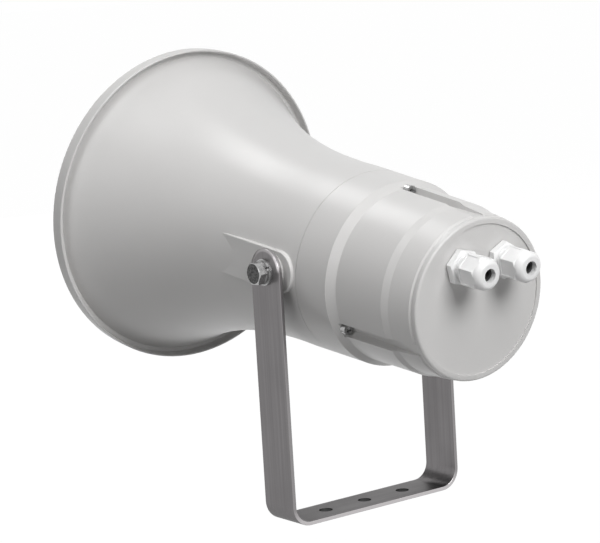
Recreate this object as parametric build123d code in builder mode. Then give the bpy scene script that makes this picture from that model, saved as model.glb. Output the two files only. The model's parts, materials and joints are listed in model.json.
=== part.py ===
from build123d import *
import os
from math import cos, sin, tan, radians, sqrt

os.makedirs("parts", exist_ok=True)

# A horn speaker on a U bracket, in millimetres and degrees.
# +Z is up and the bracket's base stands on z = 0, with the origin at its middle hole.
# The horn's mouth points towards -Y, and its rear with the cable glands towards +Y.
# Places along the horn are measured from the tilt pivot: minus to the mouth, plus to the rear.

# Bracket: one bent strip of stainless steel
strip_width = 35.0
strip_thickness = 3.0
pivot_height = 193.0
bend_inner_radius = 13.0
strip_edge_radius = 0.5
base_hole_diameter = 10.5
base_hole_spacing = 38.0
rest_tilt = 7.5

# Bell: mouth lip, flare and neck
mouth_front = -220.6
mouth_radius = 129.7
mouth_rounding = 1.5
lip_depth = 12.6
lip_draft = 0.2
lip_root_wall = 2.9
lip_edge_wall = 1.5
lip_channel_width = 3.1
lip_floor = 6.1
bell_wall = 3.4
neck_taper = 0.03
flare_power = 2.3
neck_end = 58.0
seam_place = 24.0
seam_width = 0.5

# Bell: pivot pads and their inserts
pad_rise = 1.8
pad_rounding = 1.0
pad_half_height = 16.0
seat_height = 4.4
pad_end_place = 6.0
seat_radius = 13.0
pad_boss_radius = 11.0
pad_boss_depth = 16.0

# Bell: rear flange and the spigot that the cover slips over
spigot_radius = 57.8
spigot_length = 6.0
spigot_wall = 3.0
shoulder_width = 14.4
ledge_depth = 6.0
flange_thickness = 10.0
seal_section = 2.0
seal_setback = 3.0

# Rear cover
first_band_length = 6.9
first_band_drop = 4.1
second_band_place = 113.5
middle_taper = 1.8
second_band_length = 6.2
second_band_drop = 1.8
rear_section_end = 139.6
rear_taper = 1.9
rim_groove_length = 1.4
rim_groove_depth = 1.2
rim_step = 0.4
rim_step_length = 0.6
rim_plane = 146.1
rim_rounding = 1.8
rim_land = 2.8
disc_recess = 1.0
disc_wall = 3.2
cover_wall = 3.0
channel_width = 10.0
channel_draft = 12
channel_floor_wall = 1.6
channel_wall = 3.0
screw_web = 5.0
screw_count = 3
screw_start = 90

# Fasteners: thread, head and clearance sizes
pivot_thread = 10.0
pivot_head_flats = 16.0
pivot_head_height = 6.4
pivot_head_turn = 8
pivot_head_chamfer = 30
pivot_face_radius = 7.5
pivot_bolt_length = 20.0
washer_diameter = 20.0
washer_thickness = 2.0
spring_washer_diameter = 18.1
spring_washer_thickness = 2.2
washer_split_turn = 35
insert_wall = 2.5
insert_length = 14.0
small_thread = 4.0
small_head_diameter = 7.0
small_head_height = 4.0
small_socket = 3.0
cover_thread = 5.0
cover_head_diameter = 8.5
cover_head_height = 5.0
cover_socket = 4.0
cover_screw_length = 16.0
cover_insert_wall = 0.8
cover_insert_length = 12.0
plate_thread = 3.0
plate_head_diameter = 5.5
plate_head_height = 2.0
plate_socket = 2.0
plate_screw_length = 10.0
plate_screw_start = 30

# Sound path inside the bell
throat_radius = 12.5
tube_mouth_radius = 20.0
tube_mouth_place = -75.0
tube_wall = 2.3
plate_thickness = 4.0
bullet_nose_place = -125.0
bullet_shoulder_place = -88.0
bullet_shoulder_radius = 38.0
bullet_rear_place = 25.0
bullet_rear_radius = 50.0
bullet_wall = 2.5
rib_front_place = -58.0
rib_length = 42.0
rib_thickness = 3.0
collar_wall = 3.0

# Compression driver
dome_radius = 25.0
dome_height = 8.0
dome_skin = 0.4
diaphragm_travel = 0.5
dome_clearance = 0.8
plug_web = 3.2
plug_flange = 4.0
plug_holes = 8
plug_hole_diameter = 4.6
coil_wall = 0.8
coil_length = 8.5
coil_clearance = 0.6
ledge_margin = 2.5
driver_rim = 0.5
driver_screw_count = 4
driver_screw_start = 45
driver_screw_length = 20.0
surround_width = 9.1
surround_land = 3.0
surround_roll = 1.6
top_plate_thickness = 6.0
magnet_width = 8.0
magnet_thickness = 16.0
yoke_thickness = 6.0
pole_bore = 5.0

# Line transformer and terminals on their carrier plate
pillar_length = 8.0
pillar_radius = 4.0
pillar_setback = 7.0
pillar_count = 3
pillar_start = 90
carrier_overhang = 2.0
carrier_thickness = 2.0
core_width = 42.0
core_height = 35.0
core_depth = 18.0
core_limb = 14.0
core_window = 7.0
core_drop = 15.0
winding_overhang = 6.0
terminal_width = 40.0
terminal_height = 12.0
terminal_depth = 14.0
terminal_rise = 14.0
terminal_count = 4
terminal_screw_diameter = 4.4

# Cable glands
gland_spacing = 38.8
gland_rise = 27.2
gland_thread = 20.0
gland_flats = 24.0
gland_base_depth = 5.7
gland_gasket = 0.8
gland_bore = 13.0
gland_inner_length = 12.0
gland_neck_length = 12.4
gland_neck_diameter = 18.6
gland_end = 176.6
nut_flats = 22.5
nut_stand_off = 4.4
nut_hex_length = 14.0
nut_hole_diameter = 10.0
nut_face_radius = 7.8
nut_chamfer = 1.2
nut_lip_length = 4.0
dome_crown = 2.2
panel_recess = 0.5
panel_frame = 1.05
panel_inset = 1.4
seal_bore = 7.0
seal_depth = 5.0
seal_shoulder = 1.8
locknut_flats = 26.0
locknut_depth = 5.0

# Clearances
running_gap = 0.1
shaft_gap = 0.075
thread_gap = 0.03
slip_gap = 0.2
head_gap = 0.15
screw_gap = 0.25
soft_gap = 0.3

# Frames of the tilted horn
pivot = Vector(0, 0, pivot_height)
rearward = Vector(0, cos(radians(rest_tilt)), -sin(radians(rest_tilt)))
upward = Vector(0, sin(radians(rest_tilt)), cos(radians(rest_tilt)))
horn = Plane(origin=pivot, x_dir=(-1, 0, 0), z_dir=rearward)
half_section = Plane(origin=pivot, x_dir=(1, 0, 0), z_dir=upward)
horn_axis = Axis(pivot, rearward)


def side_plane(side):
    """The plane through the horn axis whose normal points out of the given side."""
    return Plane(origin=pivot, x_dir=rearward, z_dir=(side, 0, 0))


def hex_corner_radius(flats):
    return flats / sqrt(3)


# Derived places
neck_radius = spigot_radius + shoulder_width
pad_plane = neck_radius + pad_rise
seat_plane = pad_plane + seat_height
inner_width = 2 * (seat_plane + running_gap)
bracket_width = inner_width + 2 * strip_thickness
bend_line_radius = bend_inner_radius + strip_thickness / 2
lip_rear = mouth_front + lip_depth
lip_rear_radius = mouth_radius + lip_draft
lip_inner_radius = lip_rear_radius - lip_root_wall
flare_root_place = mouth_front + lip_floor
flare_root_radius = lip_inner_radius - lip_channel_width
neck_end_radius = neck_radius - neck_taper * neck_end
bolt_seat = bracket_width / 2 + running_gap + washer_thickness + spring_washer_thickness
insert_radius = pivot_thread / 2 + insert_wall
cover_insert_radius = cover_thread / 2 + cover_insert_wall
spigot_end = neck_end + spigot_length
channel_floor = spigot_radius + slip_gap + channel_floor_wall
screw_axis_radius = channel_floor + cover_head_diameter / 2 + head_gap
plate_radius = spigot_radius - spigot_wall
plate_ledge = neck_end - ledge_depth
plate_rear = plate_ledge + plate_thickness
plate_screw_radius = plate_radius - slip_gap - plate_head_diameter / 2 - head_gap
flange_opening = plate_screw_radius - plate_thread / 2 - ledge_margin
flange_front = plate_ledge - flange_thickness
driver_radius = plate_screw_radius - plate_head_diameter / 2 - screw_gap
driver_screw_radius = driver_radius - small_head_diameter / 2 - driver_rim
magnet_outer_radius = driver_screw_radius - small_head_diameter / 2 - slip_gap
magnet_inner_radius = magnet_outer_radius - magnet_width
pillar_circle = magnet_outer_radius - pillar_setback
cover_front_radius = neck_end_radius - running_gap
first_band_radius = cover_front_radius - first_band_drop
second_band_radius = first_band_radius - middle_taper
rear_section_radius = second_band_radius - second_band_drop
rear_end_radius = rear_section_radius - rear_taper
rim_groove_place = rear_section_end + rim_groove_length
rim_groove_radius = rear_end_radius - rim_groove_depth
rim_radius = rim_groove_radius + rim_step
screw_seat = neck_end + screw_web
first_band_end = neck_end + first_band_length
disc_face = rim_plane - disc_recess
disc_inner = disc_face - disc_wall


def flare_radius(place, skin=0.0):
    """Outer radius of the flare at a place in front of the pivot, less a skin."""
    reach = place / flare_root_place
    return neck_radius - skin + (flare_root_radius - neck_radius) * reach**flare_power


def flare_stations(first_place, skin):
    """Points along the flare from the mouth end back to the pivot."""
    steps = 5
    places = [first_place * (1 - step / steps) for step in range(steps + 1)]
    return [(flare_radius(place, skin), place) for place in places]


# Bracket
leg_top = pivot_height + strip_width
line_half = bracket_width / 2 - strip_thickness / 2
with BuildPart() as bracket:
    with BuildSketch(Plane.XZ):
        with BuildLine() as strip_line:
            FilletPolyline(
                (-line_half, leg_top),
                (-line_half, strip_thickness / 2),
                (line_half, strip_thickness / 2),
                (line_half, leg_top),
                radius=bend_line_radius,
            )
        trace(strip_line.edges(), line_width=strip_thickness)
    extrude(amount=strip_width / 2, both=True)
    # The leg ends are rounded about the pivot
    with BuildSketch(Plane.YZ):
        Rectangle(strip_width, pivot_height, align=(Align.CENTER, Align.MIN))
        with Locations((0, pivot_height)):
            Circle(strip_width / 2)
    extrude(amount=bracket_width, both=True, mode=Mode.INTERSECT)
    fillet(bracket.edges().filter_by(GeomType.LINE).filter_by(Axis.Y, reverse=True), strip_edge_radius)
    # Pivot holes through both legs, and the row of holes in the base
    with BuildSketch(Plane.YZ):
        with Locations((0, pivot_height)):
            Circle(pivot_thread / 2 + shaft_gap)
    extrude(amount=bracket_width, both=True, mode=Mode.SUBTRACT)
    with GridLocations(base_hole_spacing, 1, 3, 1):
        Hole(base_hole_diameter / 2)
bracket.part.label = "bracket"
export_step(bracket.part, "parts/bracket.step")


# Bell: lip, flare, neck and rear flange as one moulding
seal_groove_radius = spigot_radius + slip_gap - seal_section - 0.1
seal_place = neck_end + seal_setback

# Flat pads that run forward into the flare, with rounded edges
with BuildPart() as pivot_pads:
    for side in (1, -1):
        with BuildSketch(side_plane(side)):
            with Locations((pad_end_place, 0)):
                Circle(pad_half_height)
                Rectangle(
                    pad_end_place - mouth_front / 2,
                    2 * pad_half_height,
                    align=(Align.MAX, Align.CENTER),
                )
        extrude(amount=pad_plane)
    pad_faces = pivot_pads.faces().filter_by(Plane.YZ).sort_by(Axis.X)
    fillet(pad_faces[0].edges() + pad_faces[-1].edges(), pad_rounding)

# The bell itself
with BuildPart() as bell:
    with BuildSketch(half_section) as bell_outline:
        with BuildLine():
            Polyline(
                (0, mouth_front),
                (mouth_radius, mouth_front),
                (lip_rear_radius, lip_rear),
                (lip_rear_radius - lip_edge_wall, lip_rear),
                (lip_inner_radius, flare_root_place),
                (flare_root_radius, flare_root_place),
            )
            Spline(flare_stations(flare_root_place, 0))
            Polyline(
                (neck_radius, 0),
                (neck_end_radius, neck_end),
                (spigot_radius, neck_end),
                (spigot_radius, spigot_end),
                (0, spigot_end),
                (0, mouth_front),
            )
        make_face()
        lip_edge = (lip_rear_radius - lip_edge_wall / 2, lip_rear)
        fillet(bell_outline.vertices().sort_by_distance(lip_edge)[:2], 0.47 * lip_edge_wall)
        fillet(bell_outline.vertices().sort_by_distance((mouth_radius, mouth_front))[0], mouth_rounding)
    revolve(axis=horn_axis)
    # The pads, with a raised seat round each pivot
    add(pivot_pads.part)
    for side in (1, -1):
        with BuildSketch(side_plane(side)):
            Circle(seat_radius)
        extrude(amount=seat_plane)
    # The open inside, down to the flange and the ledge for the throat plate
    with BuildSketch(half_section):
        with BuildLine():
            Polyline((0, mouth_front), (flare_radius(mouth_front, bell_wall), mouth_front))
            Spline(flare_stations(mouth_front, bell_wall))
            Polyline(
                (neck_radius - bell_wall, 0),
                (neck_end_radius - bell_wall, flange_front),
                (flange_opening, flange_front),
                (flange_opening, plate_ledge),
                (plate_radius, plate_ledge),
                (plate_radius, spigot_end),
                (0, spigot_end),
                (0, mouth_front),
            )
        make_face()
    revolve(axis=horn_axis, mode=Mode.SUBTRACT)
    # Blind bosses behind the pads hold the threaded inserts
    for side in (1, -1):
        with BuildSketch(side_plane(side).offset(pad_plane - pad_boss_depth)):
            Circle(pad_boss_radius)
        extrude(amount=pad_boss_depth - 1)
        with BuildSketch(side_plane(side).offset(seat_plane - insert_length)):
            Circle(insert_radius)
        extrude(amount=insert_length, mode=Mode.SUBTRACT)
    # Holes for the cover inserts and the throat plate screws
    with BuildSketch(horn.offset(neck_end)):
        with PolarLocations(screw_axis_radius, screw_count, start_angle=screw_start):
            Circle(cover_insert_radius)
    extrude(amount=-cover_insert_length, mode=Mode.SUBTRACT)
    with BuildSketch(horn.offset(plate_ledge)):
        with PolarLocations(plate_screw_radius, screw_count, start_angle=plate_screw_start):
            Circle(plate_thread / 2)
    extrude(amount=plate_thickness - plate_screw_length, mode=Mode.SUBTRACT)
    # Groove for the seal, and the fine parting line round the neck
    with BuildSketch(half_section):
        with Locations((seal_groove_radius, seal_place)):
            Rectangle(seal_section + 1, seal_section, align=(Align.MIN, Align.CENTER))
        with Locations((neck_radius - neck_taper * seam_place - seam_width, seam_place)):
            Rectangle(2, seam_width, align=(Align.MIN, Align.CENTER))
    revolve(axis=horn_axis, mode=Mode.SUBTRACT)
bell.part.label = "bell"
export_step(bell.part, "parts/bell.step")


def cover_profile(skin):
    """The stepped outline of the cover from its front to its rim, less a skin."""
    return [
        (cover_front_radius - skin, neck_end),
        (first_band_radius - skin, first_band_end),
        (second_band_radius - skin, second_band_place),
        (rear_section_radius - skin, second_band_place + second_band_length),
        (rear_end_radius - skin, rear_section_end),
    ]


# Hollow of the rear cover, less the three walls round the screw channels
with BuildPart() as cover_hollow:
    with BuildSketch(half_section):
        with BuildLine():
            Polyline(
                (0, neck_end),
                (spigot_radius + slip_gap, neck_end),
                (spigot_radius + slip_gap, spigot_end + slip_gap),
                *cover_profile(cover_wall)[1:],
                (rear_end_radius - cover_wall, disc_inner),
                (0, disc_inner),
                (0, neck_end),
            )
        make_face()
    revolve(axis=horn_axis)
    with BuildSketch(horn.offset(spigot_end + slip_gap)):
        with PolarLocations(channel_floor - cover_wall, screw_count, start_angle=screw_start):
            Rectangle(mouth_radius, channel_width + 2 * channel_wall, align=(Align.MIN, Align.CENTER))
    extrude(amount=rim_plane, mode=Mode.SUBTRACT)

channel_top_half = channel_width / 2 + (neck_radius - channel_floor) * tan(radians(channel_draft))

# Rear cover: two chamfered bands, screw channels, rounded rim and end disc in one moulding
with BuildPart() as rear_cover:
    with BuildSketch(half_section) as cover_outline:
        with BuildLine():
            Polyline(
                (0, neck_end),
                *cover_profile(0),
                (rim_groove_radius, rim_groove_place),
                (rim_radius, rim_groove_place + rim_step_length),
                (rim_radius, rim_plane),
                (rim_radius - rim_rounding - rim_land, rim_plane),
                (rim_radius - rim_rounding - rim_land, disc_face),
                (0, disc_face),
                (0, neck_end),
            )
        make_face()
        fillet(cover_outline.vertices().sort_by_distance((rim_radius, rim_plane))[0], rim_rounding)
    revolve(axis=horn_axis)
    add(cover_hollow.part, mode=Mode.SUBTRACT)
    # Screw channels with drafted side walls run back from the screw seats to the rim bead
    with BuildSketch(horn.offset(screw_seat)):
        with PolarLocations(0, screw_count, start_angle=screw_start):
            Polygon(
                (channel_floor, channel_width / 2),
                (channel_floor, -channel_width / 2),
                (neck_radius, -channel_top_half),
                (neck_radius, channel_top_half),
                align=None,
            )
    extrude(amount=rim_groove_place - screw_seat, mode=Mode.SUBTRACT)
    with BuildSketch(horn.offset(neck_end)):
        with PolarLocations(screw_axis_radius, screw_count, start_angle=screw_start):
            Circle(cover_thread / 2 + screw_gap)
    extrude(amount=first_band_length, mode=Mode.SUBTRACT)
    with BuildSketch(horn.offset(rim_plane)):
        with Locations((0, gland_rise)):
            with GridLocations(gland_spacing, 1, 2, 1):
                Circle(gland_thread / 2)
    extrude(amount=disc_inner - rim_plane, mode=Mode.SUBTRACT)
rear_cover.part.label = "rear_cover"
export_step(rear_cover.part, "parts/rear_cover.step")


# Seal ring between the spigot and the cover
with BuildPart() as cover_seal:
    with BuildSketch(half_section):
        with Locations((spigot_radius + slip_gap - seal_section / 2 - 0.05, seal_place)):
            Circle(seal_section / 2 - 0.02)
    revolve(axis=horn_axis)
cover_seal.part.label = "cover_seal"
export_step(cover_seal.part, "parts/cover_seal.step")


def screw_solid(plane, thread, length, head_diameter, head_height, socket):
    """Adds one screw with its head on top of the plane and its shank below it."""
    with BuildSketch(plane) as shank:
        Circle(thread / 2)
    extrude(shank.sketch, amount=-length)
    with BuildSketch(plane) as head:
        Circle(head_diameter / 2)
    extrude(head.sketch, amount=head_height)
    with BuildSketch(plane.offset(head_height)) as key:
        RegularPolygon(radius=hex_corner_radius(socket), side_count=6)
    extrude(key.sketch, amount=-head_height / 2, mode=Mode.SUBTRACT)


def horn_spots(place, radius, count, start):
    """Planes on a circle round the horn axis, facing the rear."""
    spots = PolarLocations(radius, count, start_angle=start).local_locations
    return [Plane(horn.offset(place).location * spot) for spot in spots]


# Socket screws that hold the cover, seen at the front end of each channel
with BuildPart() as cover_screws:
    for spot in horn_spots(screw_seat, screw_axis_radius, screw_count, screw_start):
        screw_solid(
            spot, cover_thread, cover_screw_length, cover_head_diameter, cover_head_height, cover_socket
        )
cover_screws.part.label = "cover_screws"
export_step(cover_screws.part, "parts/cover_screws.step")

# Brass inserts that the cover screws run into
with BuildPart() as cover_inserts:
    with BuildSketch(horn.offset(neck_end)):
        with PolarLocations(screw_axis_radius, screw_count, start_angle=screw_start):
            Circle(cover_insert_radius)
            Circle(cover_thread / 2 + thread_gap, mode=Mode.SUBTRACT)
    extrude(amount=-cover_insert_length)
cover_inserts.part.label = "cover_inserts"
export_step(cover_inserts.part, "parts/cover_inserts.step")

# Pivot bolts with chamfered hexagon heads
with BuildPart() as pivot_bolts:
    for side in (1, -1):
        with BuildSketch(side_plane(side).offset(bolt_seat)):
            Circle(pivot_thread / 2)
        extrude(amount=-pivot_bolt_length)
        with BuildSketch(side_plane(side).offset(bolt_seat)):
            RegularPolygon(
                radius=hex_corner_radius(pivot_head_flats),
                side_count=6,
                rotation=pivot_head_turn,
            )
        extrude(amount=pivot_head_height)
    head_tip = bolt_seat + pivot_head_height
    cone_depth = head_tip / 2
    cone_radius = pivot_face_radius + cone_depth / tan(radians(pivot_head_chamfer))
    with BuildSketch(Plane(origin=pivot, x_dir=rearward, z_dir=upward.cross(rearward).cross(rearward))):
        with BuildLine():
            Polyline(
                (0, -head_tip),
                (pivot_face_radius, -head_tip),
                (cone_radius, cone_depth - head_tip),
                (cone_radius, head_tip - cone_depth),
                (pivot_face_radius, head_tip),
                (0, head_tip),
                (0, -head_tip),
            )
        make_face()
    revolve(axis=Axis(pivot, (1, 0, 0)), mode=Mode.INTERSECT)
pivot_bolts.part.label = "pivot_bolts"
export_step(pivot_bolts.part, "parts/pivot_bolts.step")

# Flat washers against the legs
with BuildPart() as flat_washers:
    for side in (1, -1):
        with BuildSketch(side_plane(side).offset(bracket_width / 2 + running_gap)):
            Circle(washer_diameter / 2)
            Circle(pivot_thread / 2 + screw_gap, mode=Mode.SUBTRACT)
        extrude(amount=washer_thickness)
flat_washers.part.label = "flat_washers"
export_step(flat_washers.part, "parts/flat_washers.step")

# Split spring washers under the bolt heads
with BuildPart() as spring_washers:
    for side in (1, -1):
        with BuildSketch(side_plane(side).offset(bolt_seat - spring_washer_thickness)):
            Circle(spring_washer_diameter / 2)
            Circle(pivot_thread / 2 + screw_gap, mode=Mode.SUBTRACT)
            with Locations(Location((0, 0), washer_split_turn)):
                Rectangle(
                    spring_washer_diameter,
                    spring_washer_thickness / 2,
                    align=(Align.MIN, Align.CENTER),
                    mode=Mode.SUBTRACT,
                )
        extrude(amount=spring_washer_thickness)
spring_washers.part.label = "spring_washers"
export_step(spring_washers.part, "parts/spring_washers.step")

# Threaded brass inserts for the pivot bolts
with BuildPart() as pivot_inserts:
    for side in (1, -1):
        with BuildSketch(side_plane(side).offset(seat_plane - insert_length)):
            Circle(insert_radius)
            Circle(pivot_thread / 2 + thread_gap, mode=Mode.SUBTRACT)
        extrude(amount=insert_length)
pivot_inserts.part.label = "pivot_inserts"
export_step(pivot_inserts.part, "parts/pivot_inserts.step")


def tube_radius(place):
    """Inner radius of the tone tube, opening evenly from the throat to its mouth."""
    share = (plate_rear - place) / (plate_rear - tube_mouth_place)
    return throat_radius + (tube_mouth_radius - throat_radius) * share


# Throat horn: tone tube and mounting plate in one moulding
with BuildPart() as throat_horn:
    with BuildSketch(half_section):
        with BuildLine():
            Polyline(
                (tube_radius(plate_rear), plate_rear),
                (tube_radius(tube_mouth_place), tube_mouth_place),
                (tube_radius(tube_mouth_place) + tube_wall, tube_mouth_place),
                (tube_radius(plate_ledge) + tube_wall, plate_ledge),
                (plate_radius - slip_gap, plate_ledge),
                (plate_radius - slip_gap, plate_rear),
                (tube_radius(plate_rear), plate_rear),
            )
        make_face()
    revolve(axis=horn_axis)
    with BuildSketch(horn.offset(plate_rear)):
        with PolarLocations(plate_screw_radius, screw_count, start_angle=plate_screw_start):
            Circle(plate_thread / 2 + thread_gap)
        with PolarLocations(driver_screw_radius, driver_screw_count, start_angle=driver_screw_start):
            Circle(small_thread / 2 + thread_gap)
    extrude(amount=-plate_thickness, mode=Mode.SUBTRACT)
throat_horn.part.label = "throat_horn"
export_step(throat_horn.part, "parts/throat_horn.step")

# Low screws that hold the throat plate on the flange ledge
with BuildPart() as plate_screws:
    for spot in horn_spots(plate_rear, plate_screw_radius, screw_count, plate_screw_start):
        screw_solid(
            spot, plate_thread, plate_screw_length, plate_head_diameter, plate_head_height, plate_socket
        )
plate_screws.part.label = "plate_screws"
export_step(plate_screws.part, "parts/plate_screws.step")


def bullet_half(skin):
    """Half outline of the bullet on the section plane, less a skin."""
    shoulder = bullet_shoulder_radius - skin
    nose = bullet_nose_place + skin
    nose_rise = bullet_shoulder_place - nose
    with BuildSketch(half_section) as half:
        with BuildLine():
            Line((0, bullet_rear_place), (bullet_rear_radius - skin, bullet_rear_place))
            Line((bullet_rear_radius - skin, bullet_rear_place), (shoulder, bullet_shoulder_place))
            Bezier(
                (shoulder, bullet_shoulder_place),
                (0.92 * shoulder, bullet_shoulder_place - 0.7 * nose_rise),
                (0.5 * shoulder, nose),
                (0, nose),
            )
            Line((0, nose), (0, bullet_rear_place))
        make_face()
    return half.sketch


# Air space inside the bullet, less the ribs and the collar on the tone tube
rib_rear_place = rib_front_place + rib_length
collar_outer = tube_radius(rib_front_place) + tube_wall + collar_wall
with BuildPart() as bullet_air:
    revolve(bullet_half(bullet_wall), axis=horn_axis)
    with BuildSketch(horn.offset(rib_front_place)):
        Circle(collar_outer)
        with PolarLocations(0, screw_count, start_angle=screw_start):
            Rectangle(mouth_radius, rib_thickness, align=(Align.MIN, Align.CENTER))
    extrude(amount=rib_length, mode=Mode.SUBTRACT)
    with BuildSketch(half_section):
        with BuildLine():
            Polyline(
                (0, rib_front_place),
                (tube_radius(rib_front_place) + tube_wall + running_gap, rib_front_place),
                (tube_radius(rib_rear_place) + tube_wall + running_gap, rib_rear_place),
                (0, rib_rear_place),
                (0, rib_front_place),
            )
        make_face()
    revolve(axis=horn_axis)

# Bullet reflector that folds the sound path back, carried on the tone tube by its ribs
with BuildPart() as bullet_reflector:
    revolve(bullet_half(0), axis=horn_axis)
    add(bullet_air.part, mode=Mode.SUBTRACT)
bullet_reflector.part.label = "bullet_reflector"
export_step(bullet_reflector.part, "parts/bullet_reflector.step")


# Driver places, from the throat plate towards the rear
dome_sphere = (dome_radius**2 + dome_height**2) / (2 * dome_height)
dome_apex = plate_rear + plug_web + dome_clearance
dome_base = dome_apex + dome_height
dome_centre = dome_apex + dome_sphere
edge_radius = dome_radius + running_gap + coil_wall
surround_outer_radius = edge_radius + surround_width
clamp_place = dome_base
top_plate_front = clamp_place + dome_skin
top_plate_rear = top_plate_front + top_plate_thickness
magnet_rear = top_plate_rear + magnet_thickness
yoke_rear = magnet_rear + yoke_thickness
coil_outer_radius = edge_radius
coil_inner_radius = coil_outer_radius - coil_wall
pole_radius = coil_inner_radius - coil_clearance
gap_radius = coil_outer_radius + coil_clearance

# Phase plug in front of the dome, with a ring of sound holes into the throat
plug_radius = surround_outer_radius - surround_land
hollow_radius = dome_sphere + dome_clearance
with BuildPart() as phase_plug:
    with BuildSketch(horn.offset(plate_rear)):
        Circle(plug_radius)
    extrude(amount=plug_flange)
    with BuildSketch(horn.offset(plate_rear)):
        Circle(edge_radius)
    extrude(amount=dome_base - plate_rear - dome_clearance)
    with BuildSketch(half_section):
        with BuildLine():
            CenterArc((0, dome_centre), hollow_radius, -90, 90)
            Line((hollow_radius, dome_centre), (0, dome_centre))
            Line((0, dome_centre), (0, dome_centre - hollow_radius))
        make_face()
    revolve(axis=horn_axis, mode=Mode.SUBTRACT)
    with BuildSketch(horn.offset(plate_rear)):
        Circle(plug_hole_diameter / 2)
        with PolarLocations(throat_radius - plug_hole_diameter / 2 - 1, plug_holes):
            Circle(plug_hole_diameter / 2)
    extrude(amount=dome_height, mode=Mode.SUBTRACT)
phase_plug.part.label = "phase_plug"
export_step(phase_plug.part, "parts/phase_plug.step")

# Dome of the diaphragm with its narrow flat edge
with BuildPart() as diaphragm:
    with BuildSketch(half_section):
        with Locations((0, dome_centre)):
            Circle(dome_sphere)
            Circle(dome_sphere - dome_skin, mode=Mode.SUBTRACT)
        with Locations((0, dome_base + dome_skin)):
            Rectangle(dome_sphere, 2 * dome_height, align=(Align.MIN, Align.MAX), mode=Mode.INTERSECT)
        with Locations((dome_radius, dome_base)):
            Rectangle(edge_radius - dome_radius, dome_skin, align=Align.MIN)
    revolve(axis=horn_axis)
diaphragm.part.label = "diaphragm"
export_step(diaphragm.part, "parts/diaphragm.step")

# Voice coil under the dome's edge
with BuildPart() as voice_coil:
    with BuildSketch(horn.offset(dome_base + dome_skin)):
        Circle(coil_outer_radius)
        Circle(coil_inner_radius, mode=Mode.SUBTRACT)
    extrude(amount=coil_length)
voice_coil.part.label = "voice_coil"
export_step(voice_coil.part, "parts/voice_coil.step")

# Surround: a half-rolled ring clamped between the spacer and the top plate
with BuildPart() as surround:
    roll_inner = edge_radius + soft_gap
    roll_outer = surround_outer_radius - surround_land
    roll_middle = (roll_inner + roll_outer) / 2
    with BuildSketch(half_section):
        with BuildLine():
            ThreePointArc(
                (roll_inner, dome_base),
                (roll_middle, dome_base - surround_roll),
                (roll_outer, dome_base),
            )
            Polyline(
                (roll_outer, dome_base),
                (surround_outer_radius, dome_base),
                (surround_outer_radius, dome_base + dome_skin),
                (roll_outer, dome_base + dome_skin),
            )
            ThreePointArc(
                (roll_outer, dome_base + dome_skin),
                (roll_middle, dome_base + dome_skin - surround_roll),
                (roll_inner, dome_base + dome_skin),
            )
            Line((roll_inner, dome_base + dome_skin), (roll_inner, dome_base))
        make_face()
    revolve(axis=horn_axis)
surround.part.label = "surround"
export_step(surround.part, "parts/surround.step")

# Spacer ring that clamps the surround onto the top plate
with BuildPart() as driver_spacer:
    with BuildSketch(horn.offset(plate_rear)):
        Circle(driver_radius)
        Circle(plug_radius + slip_gap, mode=Mode.SUBTRACT)
        with PolarLocations(driver_screw_radius, driver_screw_count, start_angle=driver_screw_start):
            Circle(small_thread / 2 + screw_gap, mode=Mode.SUBTRACT)
    extrude(amount=clamp_place - plate_rear)
driver_spacer.part.label = "driver_spacer"
export_step(driver_spacer.part, "parts/driver_spacer.step")

# Steel top plate round the magnetic gap, with a shallow seat for the surround
with BuildPart() as top_plate:
    with BuildSketch(horn.offset(clamp_place)):
        Circle(driver_radius)
        Circle(gap_radius, mode=Mode.SUBTRACT)
        with PolarLocations(driver_screw_radius, driver_screw_count, start_angle=driver_screw_start):
            Circle(small_thread / 2 + screw_gap, mode=Mode.SUBTRACT)
    extrude(amount=top_plate_rear - clamp_place)
    with BuildSketch(horn.offset(clamp_place)):
        Circle(surround_outer_radius + running_gap)
    extrude(amount=dome_skin, mode=Mode.SUBTRACT)
    with BuildSketch(horn.offset(clamp_place)):
        Circle(edge_radius + coil_clearance + 1)
    extrude(amount=dome_skin + diaphragm_travel + running_gap, mode=Mode.SUBTRACT)
top_plate.part.label = "top_plate"
export_step(top_plate.part, "parts/top_plate.step")

# Ferrite ring magnet
with BuildPart() as magnet:
    with BuildSketch(horn.offset(top_plate_rear)):
        Circle(magnet_outer_radius)
        Circle(magnet_inner_radius, mode=Mode.SUBTRACT)
    extrude(amount=magnet_thickness)
magnet.part.label = "magnet"
export_step(magnet.part, "parts/magnet.step")

# Yoke: back plate and centre pole in one turned piece
with BuildPart() as yoke:
    with BuildSketch(horn.offset(magnet_rear)):
        Circle(magnet_outer_radius)
    extrude(amount=yoke_thickness)
    with BuildSketch(horn.offset(top_plate_front + diaphragm_travel + 0.7)):
        Circle(pole_radius)
    extrude(until=Until.NEXT)
    with BuildSketch(horn.offset(yoke_rear)):
        Circle(pole_bore / 2)
    extrude(amount=-dome_sphere, mode=Mode.SUBTRACT)
yoke.part.label = "yoke"
export_step(yoke.part, "parts/yoke.step")

# Socket screws that hold the driver on the throat plate
with BuildPart() as driver_screws:
    for spot in horn_spots(top_plate_rear, driver_screw_radius, driver_screw_count, driver_screw_start):
        screw_solid(
            spot, small_thread, driver_screw_length, small_head_diameter, small_head_height, small_socket
        )
driver_screws.part.label = "driver_screws"
export_step(driver_screws.part, "parts/driver_screws.step")

# Pillars on the back of the yoke
with BuildPart() as carrier_pillars:
    with BuildSketch(horn.offset(yoke_rear)):
        with PolarLocations(pillar_circle, pillar_count, start_angle=pillar_start):
            RegularPolygon(radius=pillar_radius, side_count=6)
    extrude(amount=pillar_length)
carrier_pillars.part.label = "carrier_pillars"
export_step(carrier_pillars.part, "parts/carrier_pillars.step")

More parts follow.
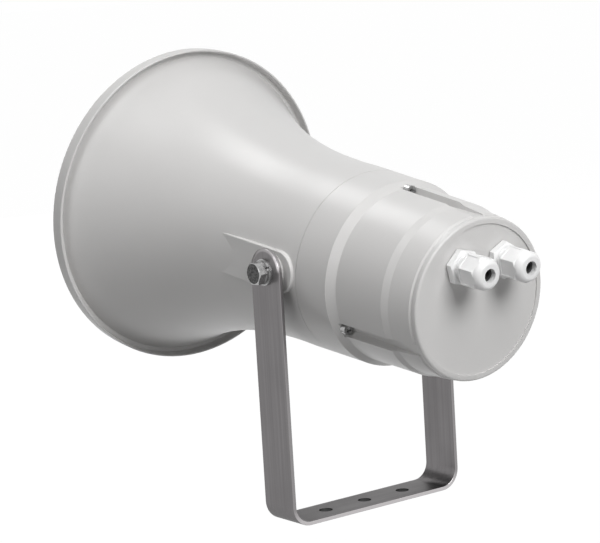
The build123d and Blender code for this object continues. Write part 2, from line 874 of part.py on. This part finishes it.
carrier_front = yoke_rear + pillar_length
carrier_rear = carrier_front + carrier_thickness
winding_width = core_limb + 2 * core_window
winding_height = core_height - core_limb

# Carrier plate with a window for the transformer's winding
with BuildPart() as carrier_plate:
    with BuildSketch(horn.offset(carrier_front)):
        Circle(magnet_outer_radius + carrier_overhang)
        with Locations((0, -core_drop)):
            Rectangle(winding_width + 1, winding_height + 1, mode=Mode.SUBTRACT)
        with PolarLocations(pillar_circle, pillar_count, start_angle=pillar_start):
            Circle(plate_thread / 2 + screw_gap, mode=Mode.SUBTRACT)
    extrude(amount=carrier_thickness)
carrier_plate.part.label = "carrier_plate"
export_step(carrier_plate.part, "parts/carrier_plate.step")

# Laminated core of the line transformer
with BuildPart() as transformer_core:
    with BuildSketch(horn.offset(carrier_rear)):
        with Locations((0, -core_drop)):
            Rectangle(core_width, core_height)
            for side in (1, -1):
                with Locations((side * (core_limb + core_window) / 2, 0)):
                    Rectangle(core_window, winding_height, mode=Mode.SUBTRACT)
    extrude(amount=core_depth)
transformer_core.part.label = "transformer_core"
export_step(transformer_core.part, "parts/transformer_core.step")

# Winding round the middle limb
with BuildPart() as transformer_winding:
    with BuildSketch(horn.offset(carrier_rear - winding_overhang)):
        with Locations((0, -core_drop)):
            RectangleRounded(winding_width - 2 * running_gap, winding_height - 2 * running_gap, 2.0)
    extrude(amount=core_depth + 2 * winding_overhang)
    with BuildSketch(horn.offset(carrier_rear - running_gap)):
        with Locations((0, -core_drop)):
            Rectangle(core_limb + 2 * running_gap, core_height)
    extrude(amount=core_depth + 2 * running_gap, mode=Mode.SUBTRACT)
transformer_winding.part.label = "transformer_winding"
export_step(transformer_winding.part, "parts/transformer_winding.step")

# Terminal block above the transformer, with wire entries below and screw wells behind
terminal_pitch = terminal_width / terminal_count
with BuildPart() as terminal_block:
    with BuildSketch(horn.offset(carrier_rear)):
        with Locations((0, terminal_rise)):
            Rectangle(terminal_width, terminal_height)
    extrude(amount=terminal_depth)
    with BuildSketch(horn.offset(carrier_rear + terminal_depth)):
        with Locations((0, terminal_rise)):
            with GridLocations(terminal_pitch, 1, terminal_count, 1):
                Circle(terminal_screw_diameter / 2 + running_gap)
    extrude(amount=-terminal_depth / 2, mode=Mode.SUBTRACT)
terminal_block.part.label = "terminal_block"
export_step(terminal_block.part, "parts/terminal_block.step")

# Terminal screws in their wells
with BuildPart() as terminal_screws:
    with BuildSketch(horn.offset(carrier_rear + terminal_depth / 2)):
        with Locations((0, terminal_rise)):
            with GridLocations(terminal_pitch, 1, terminal_count, 1):
                Circle(terminal_screw_diameter / 2)
    extrude(amount=terminal_depth / 4)
    with BuildSketch(horn.offset(carrier_rear + 3 * terminal_depth / 4)):
        with Locations((0, terminal_rise)):
            with GridLocations(terminal_pitch, 1, terminal_count, 1):
                Rectangle(terminal_screw_diameter, 0.8)
    extrude(amount=-1, mode=Mode.SUBTRACT)
terminal_screws.part.label = "terminal_screws"
export_step(terminal_screws.part, "parts/terminal_screws.step")


# Cable glands, one pair of each piece
gasket_rear = disc_face + gland_gasket
base_rear = gasket_rear + gland_base_depth
neck_rear = base_rear + gland_neck_length
nut_front = base_rear + nut_stand_off
base_reach = hex_corner_radius(gland_flats) + 1
chamfer_circle = 0.47 * gland_flats
nut_corner_radius = hex_corner_radius(nut_flats)
dome_start = nut_front + nut_hex_length
nut_lip = gland_end - nut_lip_length
nut_reach = nut_corner_radius + slip_gap
nut_front_radius = nut_flats / 2 + slip_gap
dome_root = dome_start + nut_chamfer
dome_root_radius = nut_front_radius + head_gap
dome_bend = 0.45 * (gland_end - dome_root)
base_turns = {"left": -12.0, "right": 29.5}
nut_turns = {"left": -14.0, "right": 39.5}


def gland_plane(side, place):
    """Plane on a gland's axis: side -1 is the left gland seen from behind, +1 the right."""
    return Plane(
        origin=horn.offset(place).from_local_coords((side * gland_spacing / 2, gland_rise, 0)),
        x_dir=horn.x_dir,
        z_dir=rearward,
    )


def gland_section(side):
    """Half-section plane through a gland's axis, with x as its radius and y to the rear."""
    origin = horn.from_local_coords((side * gland_spacing / 2, gland_rise, 0))
    return Plane(origin=origin, x_dir=(1, 0, 0), z_dir=upward)


for name, side in (("left", -1), ("right", 1)):
    gland_axis = Axis(gland_plane(side, 0).origin, rearward)

    # Threaded body with its hexagon base on the cover's disc
    with BuildPart() as gland_body:
        with BuildSketch(gland_plane(side, gasket_rear)):
            RegularPolygon(radius=hex_corner_radius(gland_flats), side_count=6, rotation=base_turns[name])
        extrude(amount=gland_base_depth)
        with BuildSketch(gland_section(side)):
            with BuildLine():
                Polyline(
                    (0, gasket_rear),
                    (base_reach, gasket_rear),
                    (base_reach, base_rear - (base_reach - chamfer_circle) * tan(radians(30))),
                    (chamfer_circle, base_rear),
                    (0, base_rear),
                    (0, gasket_rear),
                )
            make_face()
        revolve(axis=gland_axis, mode=Mode.INTERSECT)
        with BuildSketch(gland_plane(side, base_rear)):
            Circle(gland_neck_diameter / 2)
        extrude(amount=gland_neck_length)
        with BuildSketch(gland_plane(side, gasket_rear)):
            Circle(gland_thread / 2 - thread_gap)
        extrude(amount=-gland_inner_length)
        with BuildSketch(gland_plane(side, neck_rear)):
            Circle(gland_bore / 2)
        extrude(amount=-2 * gland_inner_length - gland_neck_length, mode=Mode.SUBTRACT)
    gland_body.part.label = "gland_body_" + name
    export_step(gland_body.part, "parts/gland_body_" + name + ".step")

    # Flat gasket between the hexagon base and the disc
    with BuildPart() as gasket:
        with BuildSketch(gland_plane(side, disc_face)):
            Circle(gland_flats / 2 - 0.6)
            Circle(gland_thread / 2, mode=Mode.SUBTRACT)
        extrude(amount=gland_gasket)
    gasket.part.label = "gland_gasket_" + name
    export_step(gasket.part, "parts/gland_gasket_" + name + ".step")

    # Locknut inside the cover
    with BuildPart() as locknut:
        with BuildSketch(gland_plane(side, disc_inner)):
            RegularPolygon(radius=hex_corner_radius(locknut_flats), side_count=6)
            Circle(gland_thread / 2, mode=Mode.SUBTRACT)
        extrude(amount=-locknut_depth)
    locknut.part.label = "gland_locknut_" + name
    export_step(locknut.part, "parts/gland_locknut_" + name + ".step")

    # Dome nut: hexagon with recessed flats, then a rounded dome with the cable hole
    with BuildPart() as dome_nut:
        with BuildSketch(gland_plane(side, nut_front)):
            RegularPolygon(radius=nut_corner_radius, side_count=6, rotation=nut_turns[name])
        extrude(amount=gland_end - nut_front)
        with BuildSketch(gland_section(side)):
            with BuildLine():
                Polyline(
                    (0, gland_end),
                    (0, nut_front),
                    (nut_front_radius, nut_front),
                    (nut_reach, nut_front + nut_chamfer),
                    (nut_reach, dome_start),
                    (dome_root_radius, dome_root),
                )
                Bezier(
                    (dome_root_radius, dome_root),
                    (dome_root_radius - slip_gap, dome_root + dome_bend),
                    (nut_face_radius + dome_crown, gland_end - slip_gap),
                    (nut_face_radius, gland_end),
                )
                Line((nut_face_radius, gland_end), (0, gland_end))
            make_face()
        revolve(axis=gland_axis, mode=Mode.INTERSECT)
        # Shallow panels in the six flats
        for turn in range(6):
            outward = horn.x_dir.rotate(Axis((0, 0, 0), rearward), nut_turns[name] + 30 + 60 * turn)
            panel_middle = gland_plane(side, nut_front + nut_hex_length / 2).origin
            panel = Plane(
                origin=panel_middle + outward * (nut_flats / 2 - panel_recess),
                x_dir=rearward.cross(outward),
                z_dir=outward,
            )
            with BuildSketch(panel):
                Rectangle(nut_corner_radius - 2 * panel_frame, nut_hex_length - 2 * panel_inset)
            extrude(amount=2 * panel_recess, mode=Mode.SUBTRACT)
        with BuildSketch(gland_section(side)):
            with BuildLine():
                Polyline(
                    (0, nut_front),
                    (gland_neck_diameter / 2 + slip_gap, nut_front),
                    (gland_neck_diameter / 2 + slip_gap, neck_rear + seal_shoulder + slip_gap),
                    (nut_hole_diameter / 2, nut_lip),
                    (nut_hole_diameter / 2, gland_end),
                    (0, gland_end),
                    (0, nut_front),
                )
            make_face()
        revolve(axis=gland_axis, mode=Mode.SUBTRACT)
    dome_nut.part.label = "gland_nut_" + name
    export_step(dome_nut.part, "parts/gland_nut_" + name + ".step")

    # Rubber seal squeezed between the body and the dome nut
    with BuildPart() as seal:
        with BuildSketch(gland_section(side)):
            with BuildLine():
                Polyline(
                    (seal_bore / 2, neck_rear - seal_depth),
                    (gland_bore / 2 - running_gap, neck_rear - seal_depth),
                    (gland_bore / 2 - running_gap, neck_rear + running_gap),
                    (gland_neck_diameter / 2 - slip_gap, neck_rear + running_gap),
                    (gland_neck_diameter / 2 - slip_gap, neck_rear + seal_shoulder),
                    (nut_hole_diameter / 2 - running_gap, nut_lip - slip_gap),
                    (seal_bore / 2, nut_lip - slip_gap),
                    (seal_bore / 2, neck_rear - seal_depth),
                )
            make_face()
        revolve(axis=gland_axis)
    seal.part.label = "gland_seal_" + name
    export_step(seal.part, "parts/gland_seal_" + name + ".step")
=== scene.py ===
"""A horn speaker on a U bracket: its finishes, the floor, the light and the camera."""
import json
import math

import bpy
from mathutils import Matrix, Vector

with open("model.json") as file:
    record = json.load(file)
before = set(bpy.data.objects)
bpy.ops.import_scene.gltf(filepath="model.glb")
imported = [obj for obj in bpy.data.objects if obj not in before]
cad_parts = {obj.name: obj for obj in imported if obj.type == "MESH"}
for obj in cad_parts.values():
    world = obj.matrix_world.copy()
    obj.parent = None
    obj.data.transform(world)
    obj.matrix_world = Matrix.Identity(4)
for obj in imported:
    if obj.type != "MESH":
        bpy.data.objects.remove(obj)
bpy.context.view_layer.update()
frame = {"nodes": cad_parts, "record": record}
nodes = frame["nodes"]


# Shader helpers

class Shader:
    """A node material with one Principled shader, and short ways to add nodes to it."""

    def __init__(self, name, roughness, metallic=0.0, specular=0.5):
        self.material = bpy.data.materials.new(name)
        self.material.use_nodes = True
        self.tree = self.material.node_tree
        self.surface = self.tree.nodes["Principled BSDF"]
        self.surface.inputs["Roughness"].default_value = roughness
        self.surface.inputs["Metallic"].default_value = metallic
        self.surface.inputs["Specular IOR Level"].default_value = specular
        self.place = self.tree.nodes.new("ShaderNodeTexCoord").outputs["Object"]

    def node(self, kind, settings=None, **inputs):
        """Adds a node. An input is a value, or another node's output to link."""
        added = self.tree.nodes.new("ShaderNode" + kind)
        for key, value in (settings or {}).items():
            setattr(added, key, value)
        for key, value in inputs.items():
            numbered = key[0] == "i" and key[1:].isdigit()
            self.set(added.inputs[int(key[1:]) if numbered else key], value)
        return added

    def set(self, socket, value):
        if isinstance(value, bpy.types.NodeSocket):
            self.tree.links.new(value, socket)
        else:
            socket.default_value = value

    def parts(self, vector):
        """The three parts of a vector."""
        return self.node("SeparateXYZ", i0=vector).outputs

    def facing(self):
        """The three parts of the surface's normal."""
        return self.parts(self.node("NewGeometry").outputs["Normal"])

    def math(self, kind, *values):
        inputs = {"i" + str(place): value for place, value in enumerate(values)}
        return self.node("Math", {"operation": kind}, **inputs).outputs[0]

    def size_of(self, value):
        """The value without its sign."""
        return self.math("ABSOLUTE", value)

    def both(self, first, second):
        """A share that is 1 only where both shares are."""
        return self.math("MULTIPLY", first, second)

    def stretched(self, scale):
        """The place on the object, with each axis scaled by its own factor."""
        return self.node("Mapping", i0=self.place, i3=scale).outputs[0]

    def noise(self, scale, detail=2.0, where=None, roughness=0.5):
        return self.node(
            "TexNoise",
            Vector=self.place if where is None else where,
            Scale=scale,
            Detail=detail,
            Roughness=roughness,
        ).outputs["Fac"]

    def ramp(self, factor, low, high, start=0.3, end=0.7):
        """A value that runs from low to high as the factor runs from start to end."""
        return self.node("MapRange", i0=factor, i1=start, i2=end, i3=low, i4=high).outputs[0]

    def mix(self, factor, first, second):
        """Mixes two colours."""
        mixer = self.node("Mix", {"data_type": "RGBA"})
        self.set(mixer.inputs[0], factor)
        self.set(mixer.inputs[6], first)
        self.set(mixer.inputs[7], second)
        return mixer.outputs[2]

    def bump(self, height, distance, strength=1.0, under=None):
        bumper = self.node("Bump", Height=height, Distance=distance, Strength=strength)
        if under is not None:
            self.tree.links.new(under, bumper.inputs["Normal"])
        return bumper.outputs[0]

    def finish(self, color=None, roughness=None, normal=None):
        for name, value in (("Base Color", color), ("Roughness", roughness), ("Normal", normal)):
            if value is not None:
                self.set(self.surface.inputs[name], value)
        return self.material


def grey(level, warmth=0.0):
    """A nearly neutral colour: warmth lifts red and lowers blue by that share."""
    return (level * (1 + warmth), level, level * (1 - warmth), 1.0)


def steel_grey(level):
    """The bracket's grey, which is faintly pink."""
    return (level * 1.04, level, level * 1.015, 1.0)


def moulded_plastic(
    name, level, roughness, warmth=0.008, specular=0.5, grain=1980.0, grain_depth=0.00004
):
    """Moulded plastic with a fine spark-eroded grain, a slightly uneven tone and uneven gloss."""
    shader = Shader(name, roughness, specular=specular)
    cloud = shader.noise(14.0, 3.0)
    color = shader.mix(cloud, grey(level * 0.965, warmth), grey(level * 1.025, warmth))
    gloss = shader.ramp(shader.noise(45.0, 2.0), roughness - 0.02, roughness + 0.04, 0.1, 0.9)
    return shader.finish(color, gloss, shader.bump(shader.noise(grain, 2.0), grain_depth, 0.55))


PIVOT_HEIGHT = 0.193
STRIP_HALF_WIDTH = 0.0175
BASE_HOLES_REACH = 0.045


def brushed_strip(name, level):
    """Ground stainless strip: lines run along it, and its round ends are buffed smooth and carry a
    painted highlight.

    Its edges carry a painted highlight, bright along the base and plainer along the legs. The base
    holes carry painted shade inside.
    """
    shader = Shader(name, 0.36, metallic=1.0)
    shader.surface.inputs["Specular Tint"].default_value = (0.65, 0.65, 0.65, 1.0)
    place = shader.parts(shader.place)
    on_leg = shader.ramp(place[2], 0.0, 1.0, 0.004, 0.014)
    facing = shader.facing()
    far_out = shader.ramp(
        shader.size_of(place[1]), 0.0, 1.0, STRIP_HALF_WIDTH - 0.0025, STRIP_HALF_WIDTH - 0.0015
    )
    within = shader.ramp(far_out, 1.0, 0.0, 0.0, 1.0)
    # Painted highlight: the strip's edges that face sideways are lightened.
    painted_edge_highlight = shader.both(shader.ramp(shader.size_of(facing[1]), 0.0, 1.0, 0.3, 0.9), far_out)
    near_holes = shader.ramp(
        shader.size_of(place[0]), 1.0, 0.0, BASE_HOLES_REACH, BASE_HOLES_REACH + 0.002
    )
    upright = shader.ramp(shader.size_of(facing[2]), 1.0, 0.0, 0.3, 0.7)
    # Painted shade inside the base holes.
    hole_shade = shader.both(shader.both(upright, near_holes), within)
    above_pivot = shader.math("MAXIMUM", shader.math("SUBTRACT", place[2], PIVOT_HEIGHT), 0.0)
    from_pivot = shader.node("CombineXYZ", i0=place[1], i1=above_pivot).outputs[0]
    reach = shader.node("VectorMath", {"operation": "LENGTH"}, i0=from_pivot).outputs["Value"]
    at_end = shader.ramp(above_pivot, 0.0, 1.0, 0.0, 0.003)
    rounding = shader.node("MapRange", {"interpolation_type": "SMOOTHSTEP"}, i0=reach)
    limits = (STRIP_HALF_WIDTH - 0.0026, STRIP_HALF_WIDTH + 0.0012, 1.0, 0.0)
    for slot, value in enumerate(limits, 1):
        rounding.inputs[slot].default_value = value
    # The buffed round ends: their colour is lifted as a painted highlight.
    polish_and_highlight = shader.ramp(reach, 0.0, 1.0, STRIP_HALF_WIDTH - 0.0028, STRIP_HALF_WIDTH - 0.0016)
    polish_and_highlight = shader.both(polish_and_highlight, at_end)

    def lines(fine, length):
        up = shader.noise(1.0, 3.0, shader.stretched((fine, fine, length)), 0.6)
        across = shader.noise(1.0, 3.0, shader.stretched((length, fine, fine)), 0.6)
        mixer = shader.node("Mix", {"data_type": "FLOAT"})
        shader.set(mixer.inputs[0], on_leg)
        shader.set(mixer.inputs[2], across)
        shader.set(mixer.inputs[3], up)
        return mixer.outputs[0]

    hair = lines(2600.0, 14.0)
    streak = lines(420.0, 5.0)
    smudge = shader.noise(22.0, 3.0)
    tone = shader.ramp(streak, 0.0, 1.0)
    color = shader.mix(tone, steel_grey(level * 0.82), steel_grey(level * 1.14))
    color = shader.mix(shader.ramp(hair, 0.0, 0.5), color, steel_grey(level * 1.3))
    color = shader.mix(shader.ramp(smudge, 0.0, 0.35), color, steel_grey(level * 0.9))
    # Painted highlight on the edges: stronger along the base than along the legs.
    edge_highlight_color = shader.mix(on_leg, steel_grey(0.5), steel_grey(0.27))
    color = shader.mix(painted_edge_highlight, color, edge_highlight_color)
    # Painted highlight on the buffed round ends.
    color = shader.mix(polish_and_highlight, color, steel_grey(level * 1.9))
    # Painted shade: the inside of the base holes is darkened.
    color = shader.mix(hole_shade, color, shader.ramp(smudge, level * 0.2, level * 0.5))
    gloss = shader.ramp(smudge, 0.3, 0.42)
    brushing = shader.bump(hair, 0.00003, 0.5)
    return shader.finish(color, gloss, shader.bump(rounding.outputs[0], 0.0011, at_end, brushing))


BOLT_FACE_PLACE = 0.089


def plain_metal(name, level, roughness, bolt_face_shade=1.0):
    """Turned or rolled metal with faint scratches and tarnish.

    The outer faces of the pivot bolts are painted darker, as shade that stands in for a dark
    reflection, with a mottled tone: bolt_face_shade is their share of the level.
    """
    shader = Shader(name, roughness, metallic=1.0)
    cloud = shader.noise(160.0, 3.0)
    color = shader.mix(shader.ramp(cloud, 0.0, 1.0), grey(level * 0.8), grey(level * 1.15))
    if bolt_face_shade < 1.0:
        sideways = shader.size_of(shader.parts(shader.place)[0])
        far_out = shader.ramp(sideways, 0.0, 1.0, BOLT_FACE_PLACE, BOLT_FACE_PLACE + 0.0004)
        outwards = shader.ramp(shader.size_of(shader.facing()[0]), 0.0, 1.0, 0.93, 0.99)
        face_level = level * bolt_face_shade
        shaded_face_tone = shader.ramp(shader.noise(700.0, 3.0), face_level * 0.4, face_level * 1.9)
        # Painted shade: the pivot bolts' outer faces are darkened and mottled.
        color = shader.mix(shader.both(far_out, outwards), color, shaded_face_tone)
    gloss = shader.ramp(shader.noise(260.0, 2.0), roughness - 0.07, roughness + 0.1)
    marks = shader.noise(1.0, 3.0, shader.stretched((900.0, 180.0, 900.0)))
    return shader.finish(color, gloss, shader.bump(marks, 0.00003, 0.4))


def tinted_metal(name, color, roughness):
    """Coloured metal, such as brass or enamelled copper."""
    shader = Shader(name, roughness, metallic=1.0)
    cloud = shader.noise(180.0, 3.0)
    dark = tuple(0.7 * part for part in color) + (1.0,)
    tone = shader.mix(shader.ramp(cloud, 0.0, 1.0), dark, tuple(color) + (1.0,))
    return shader.finish(tone, shader.ramp(cloud, roughness - 0.05, roughness + 0.1))


def soft_rubber(name, level):
    """Matt rubber with a fine bloom."""
    shader = Shader(name, 0.7, specular=0.4)
    bloom = shader.noise(400.0, 3.0)
    color = shader.mix(shader.ramp(bloom, 0.0, 1.0), grey(level), grey(level * 1.7))
    return shader.finish(color, shader.ramp(bloom, 0.6, 0.8), shader.bump(bloom, 0.00003, 0.5))


# Finishes by the record's material slots

FINISHES = {
    "horn_plastic": moulded_plastic("horn plastic", 0.63, 0.31, warmth=0.011, specular=0.42),
    "inner_plastic": moulded_plastic("inner plastic", 0.56, 0.5),
    "gland_plastic": moulded_plastic(
        "gland plastic", 0.88, 0.36, warmth=0.0, grain=1320.0, grain_depth=0.00012
    ),
    "terminal_plastic": moulded_plastic("terminal plastic", 0.74, 0.4, warmth=0.03),
    "bracket_steel": brushed_strip("bracket steel", 0.175),
    "fastener_steel": plain_metal("fastener steel", 0.4, 0.24, bolt_face_shade=0.14),
    "inner_steel": plain_metal("plated steel", 0.5, 0.35),
    "dome_metal": plain_metal("sheet aluminium", 0.7, 0.32),
    "core_steel": plain_metal("core steel", 0.2, 0.5),
    "insert_brass": tinted_metal("brass", (0.68, 0.5, 0.2), 0.3),
    "copper_wire": tinted_metal("copper wire", (0.62, 0.27, 0.12), 0.35),
    "seal_rubber": soft_rubber("seal rubber", 0.02),
    "gland_rubber": soft_rubber("gland rubber", 0.03),
    "ferrite": soft_rubber("ferrite", 0.05),
    "surround_cloth": soft_rubber("surround cloth", 0.09),
}

for part in frame["record"]["subparts"]:
    piece = nodes[part["node"]]
    piece.data.materials.clear()
    piece.data.materials.append(FINISHES[part["material_slot"]])


# Shading: smooth within each CAD face and over tangent joints, crisp where two meet at an angle

CREASE = math.radians(6.5)
CORNER = math.radians(50.0)
MERGE_DISTANCE = 0.00001


def crisp_edges():
    """A node group that joins neighbouring faces' points and marks only the real creases sharp."""
    group = bpy.data.node_groups.new("crisp edges", "GeometryNodeTree")
    for way in ("INPUT", "OUTPUT"):
        group.interface.new_socket("Geometry", in_out=way, socket_type="NodeSocketGeometry")

    def node(kind, settings=None, **inputs):
        added = group.nodes.new(kind)
        for key, value in (settings or {}).items():
            setattr(added, key, value)
        for key, value in inputs.items():
            socket = added.inputs[int(key[1:])]
            if isinstance(value, bpy.types.NodeSocket):
                group.links.new(value, socket)
            else:
                socket.default_value = value
        return added

    def math_node(kind, first, second):
        return node("ShaderNodeMath", {"operation": kind}, i0=first, i1=second).outputs[0]

    def keep(mesh, name, value):
        settings = {"data_type": "FLOAT", "domain": "FACE"}
        stored = node("GeometryNodeStoreNamedAttribute", settings, i0=mesh, i2=name)
        group.links.new(value, stored.inputs["Value"])
        return stored.outputs[0]

    def kept(name):
        return node("GeometryNodeInputNamedAttribute", {"data_type": "FLOAT"}, i0=name).outputs[0]

    # A CAD face's triangles share a number. Where an edge has two numbers, their spread isn't zero
    number = node("GeometryNodeInputMeshIsland").outputs["Island Index"]
    mesh = keep(node("NodeGroupInput").outputs[0], "cad_face", number)
    mesh = keep(mesh, "cad_face_squared", math_node("MULTIPLY", number, number))
    mesh = node("GeometryNodeMergeByDistance", i0=mesh).outputs[0]
    mesh.node.inputs["Distance"].default_value = MERGE_DISTANCE
    squared_mean = math_node("POWER", kept("cad_face"), 2.0)
    spread = math_node("SUBTRACT", kept("cad_face_squared"), squared_mean)
    angle = node("GeometryNodeInputMeshEdgeAngle").outputs["Unsigned Angle"]
    joint = math_node("GREATER_THAN", spread, 0.2)
    crease = math_node("MULTIPLY", joint, math_node("GREATER_THAN", angle, CREASE))
    sharp = math_node("MAXIMUM", crease, math_node("GREATER_THAN", angle, CORNER))
    shaded = node("GeometryNodeSetMeshNormal", {"mode": "SHARPNESS"}, i0=mesh)
    shaded.inputs["Remove Custom"].default_value = True
    shaded.inputs["Face Sharpness"].default_value = False
    group.links.new(sharp, shaded.inputs["Edge Sharpness"])
    group.links.new(shaded.outputs[0], node("NodeGroupOutput").inputs[0])
    return group


CRISP_EDGES = crisp_edges()
for piece in nodes.values():
    piece.modifiers.new("crisp edges", "NODES").node_group = CRISP_EDGES


# Floor: white to the camera and in reflections. The mouth can swing below the base, so it lies low

FLOOR_LEVEL = -0.065
FLOOR_SIZE = 30.0
FLOOR_SHARE = 0.86  # of white in what is seen of the floor; the rest takes light and shadow
FLOOR_WHITE = 1.14


def background_rays(tree):
    """A share that is 1 for rays which show the background, to the camera or in metal and glass."""
    rays = tree.nodes.new("ShaderNodeLightPath")
    seen = rays.outputs["Is Camera Ray"]
    for kind in ("Is Glossy Ray", "Is Transmission Ray"):
        either = tree.nodes.new("ShaderNodeMath")
        either.operation = "MAXIMUM"
        tree.links.new(seen, either.inputs[0])
        tree.links.new(rays.outputs[kind], either.inputs[1])
        seen = either.outputs[0]
    return seen


def floor_material():
    material = bpy.data.materials.new("floor")
    material.use_nodes = True
    tree = material.node_tree
    diffuse = tree.nodes["Principled BSDF"]
    diffuse.inputs["Base Color"].default_value = (0.3, 0.3, 0.3, 1.0)
    diffuse.inputs["Roughness"].default_value = 0.9
    white = tree.nodes.new("ShaderNodeEmission")
    white.inputs["Strength"].default_value = FLOOR_WHITE
    share = tree.nodes.new("ShaderNodeMath")
    share.operation = "MULTIPLY"
    share.inputs[1].default_value = FLOOR_SHARE
    tree.links.new(background_rays(tree), share.inputs[0])
    blend = tree.nodes.new("ShaderNodeMixShader")
    tree.links.new(share.outputs[0], blend.inputs[0])
    tree.links.new(diffuse.outputs[0], blend.inputs[1])
    tree.links.new(white.outputs[0], blend.inputs[2])
    tree.links.new(blend.outputs[0], tree.nodes["Material Output"].inputs["Surface"])
    return material


bpy.ops.mesh.primitive_plane_add(size=FLOOR_SIZE, location=(0.0, 0.0, FLOOR_LEVEL))
floor = bpy.context.object
floor.name = "floor"
floor.data.materials.append(floor_material())


# World: white where it is seen as the background, and no light of its own on the object

world = bpy.data.worlds.new("studio")
bpy.context.scene.world = world
world.use_nodes = True
backdrop = world.node_tree.nodes["Background"]
backdrop.inputs["Color"].default_value = (1.0, 1.0, 1.0, 1.0)
world.node_tree.links.new(background_rays(world.node_tree), backdrop.inputs["Strength"])


# Lamps: a large soft light behind, three overhead, and weaker ones on the left and before the mouth

def softbox(name, place, size, power):
    lamp = bpy.data.lights.new(name, "AREA")
    lamp.shape = "RECTANGLE"
    lamp.size, lamp.size_y = size
    lamp.energy = power
    box = bpy.data.objects.new(name, lamp)
    bpy.context.scene.collection.objects.link(box)
    box.location = place
    box.rotation_euler = (Vector(LAMP_AIM) - Vector(place)).to_track_quat("-Z", "Y").to_euler()


LAMP_AIM = (0.0, 0.0, 0.2)
LAMPS = (
    # name, place, width and height, power
    ("overhead left", (0.9, 0.2, 1.9), (1.2, 1.2), 9.1),
    ("overhead rear", (0.1, 1.4, 2.0), (1.2, 1.2), 11.9),
    ("overhead mouth side", (0.0, -1.0, 1.75), (0.7, 0.5), 6.0),
    ("behind", (0.1, 2.2, 1.5), (1.4, 1.0), 43.0),
    ("left", (1.9, 0.3, 0.9), (1.0, 1.0), 5.7),
    ("before the mouth", (-0.5, -2.4, 0.5), (1.2, 1.2), 18.0),
)

for row in LAMPS:
    softbox(*row)


# Camera at the photograph's viewing angle

CAMERA_PLACE = Vector((1.0192, 1.2938, 0.4370))
CAMERA_AIM = Vector((0.0467, -0.0031, 0.1882))
CAMERA_ROLL = math.radians(-3.45)
LENS_MM = 131.4

camera = bpy.data.objects.new("camera", bpy.data.cameras.new("camera"))
bpy.context.scene.collection.objects.link(camera)
camera.data.sensor_width = 36.0
camera.data.lens = LENS_MM
camera.data.clip_start = 0.01
camera.data.clip_end = 50.0
aimed = (CAMERA_AIM - CAMERA_PLACE).to_track_quat("-Z", "Y").to_matrix().to_4x4()
rolled = Matrix.Rotation(CAMERA_ROLL, 4, "Z")
camera.matrix_world = Matrix.Translation(CAMERA_PLACE) @ aimed @ rolled
bpy.context.scene.camera = camera

bpy.context.scene.view_settings.view_transform = "Standard"
